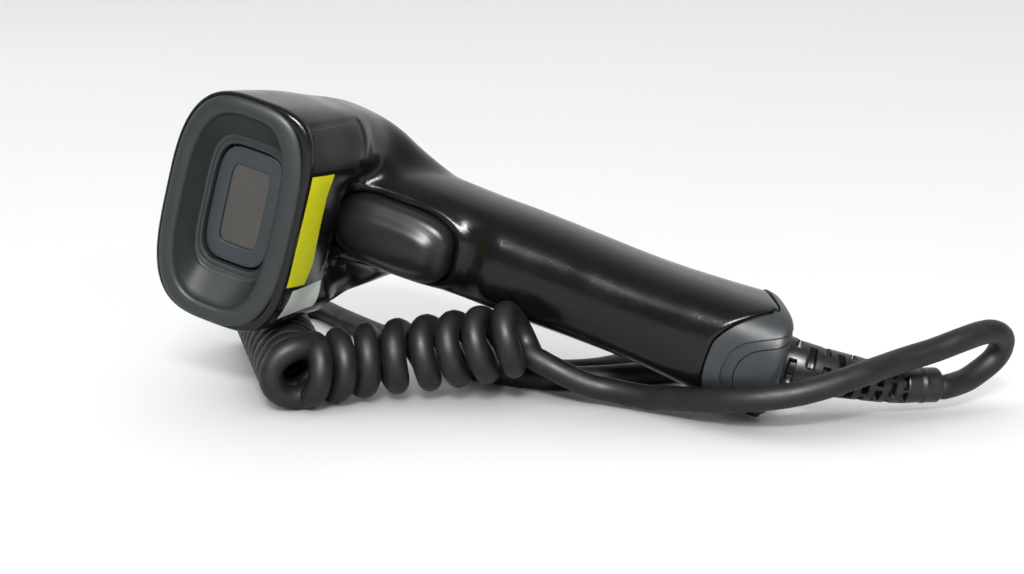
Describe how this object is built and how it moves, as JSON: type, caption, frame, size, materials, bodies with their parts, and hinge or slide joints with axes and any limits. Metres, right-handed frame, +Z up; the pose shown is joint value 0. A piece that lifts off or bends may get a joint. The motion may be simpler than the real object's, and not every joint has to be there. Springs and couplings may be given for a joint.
{
  "type": "handheld barcode scanner",
  "caption": "Corded pistol-grip handheld barcode scanner with a sprung trigger, a funnel-shaped nose window and a curly cable that ends in a computer plug.",
  "frame": {"origin": "centre of the base of the scanner's box, on the surface it lies on, measured without the cable", "axes": "+Z up; +X runs along the scanner from the top of its head towards its butt; -Y is the side that the nose window faces"},
  "size_m": [0.248, 0.1406, 0.0909],
  "materials": {
    "front_shell": "gloss, fine orange peel",
    "rear_cover": "gloss, fine orange peel",
    "nose_bezel": "satin, soft to the touch",
    "window_plate": "matt",
    "scan_window": "polished, smoky",
    "window_gasket": "matt",
    "engine_chassis": "matt",
    "image_sensor": "smooth",
    "lens_barrel": "matt",
    "lens": "polished",
    "illumination_leds": "smooth",
    "laser_aimer": "turned",
    "engine_board": "solder mask",
    "inner_frame": "moulded",
    "main_board": "solder mask",
    "board_screws": "zinc",
    "processor_chip": "moulded",
    "memory_chip": "moulded",
    "beeper": "moulded",
    "flex_cable": "satin film",
    "status_lamp": "frosted",
    "trigger": "gloss",
    "trigger_pin": "ground",
    "trigger_spring": "drawn wire",
    "switch_body": "moulded",
    "switch_plunger": "moulded",
    "butt_cap": "satin",
    "butt_insert": "satin",
    "cord_jack": "moulded",
    "jack_contacts": "gold plated",
    "rating_label": "satin film, blank",
    "caution_label": "satin film, blank",
    "serial_label": "satin film, blank",
    "strain_relief": "satin",
    "cord_plug": "moulded",
    "plug_latch": "moulded",
    "cord_lead": "satin",
    "cord_curl_front": "satin",
    "cord_curl_back": "satin",
    "cord_tail": "satin",
    "usb_boot": "satin",
    "usb_grip": "satin",
    "usb_shell": "nickel plated",
    "usb_tongue": "moulded"
  },
  "bodies": {
    "scanner": {"front_shell": "front_shell", "rear_cover": "rear_cover", "nose_bezel": "nose_bezel", "window_plate": "window_plate", "scan_window": "scan_window", "window_gasket": "window_gasket", "engine_chassis": "engine_chassis", "image_sensor": "image_sensor", "lens_barrel": "lens_barrel", "lens": "lens", "illumination_leds": "illumination_leds", "laser_aimer": "laser_aimer", "engine_board": "engine_board", "inner_frame": "inner_frame", "main_board": "main_board", "board_screws": "board_screws", "processor_chip": "processor_chip", "memory_chip": "memory_chip", "beeper": "beeper", "flex_cable": "flex_cable", "status_lamp": "status_lamp", "trigger_pin": "trigger_pin", "trigger_spring": "trigger_spring", "switch_body": "switch_body", "butt_cap": "butt_cap", "butt_insert": "butt_insert", "cord_jack": "cord_jack", "jack_contacts": "jack_contacts", "rating_label": "rating_label", "caution_label": "caution_label", "serial_label": "serial_label", "strain_relief": "strain_relief", "cord_plug": "cord_plug", "plug_latch": "plug_latch", "cord_lead": "cord_lead", "cord_curl_front": "cord_curl_front", "cord_curl_back": "cord_curl_back", "cord_tail": "cord_tail", "usb_boot": "usb_boot", "usb_grip": "usb_grip", "usb_shell": "usb_shell", "usb_tongue": "usb_tongue"},
    "trigger": {"trigger": "trigger"},
    "plunger": {"switch_plunger": "switch_plunger"}
  },
  "joints": [
    {"name": "trigger_pull", "type": "hinge", "parent": "scanner", "child": "trigger", "pos_m": [-0.04395, 0.0038, 0.04971], "axis": [0.2617, 0.061, 0.9632], "range_deg": [0, 3], "stiffness_Nm_per_rad": 0.9, "springref_deg": -14.32, "deforming": ["trigger_spring"]},
    {"name": "switch_press", "type": "slide", "parent": "scanner", "child": "plunger", "axis": [-0.1585, 0.9872, -0.0195], "range_m": [0, 0.0009]}
  ],
  "couplings": [
    {"joint": "switch_press", "follows": "trigger_pull", "m_per_rad": 0.01719}
  ]
}
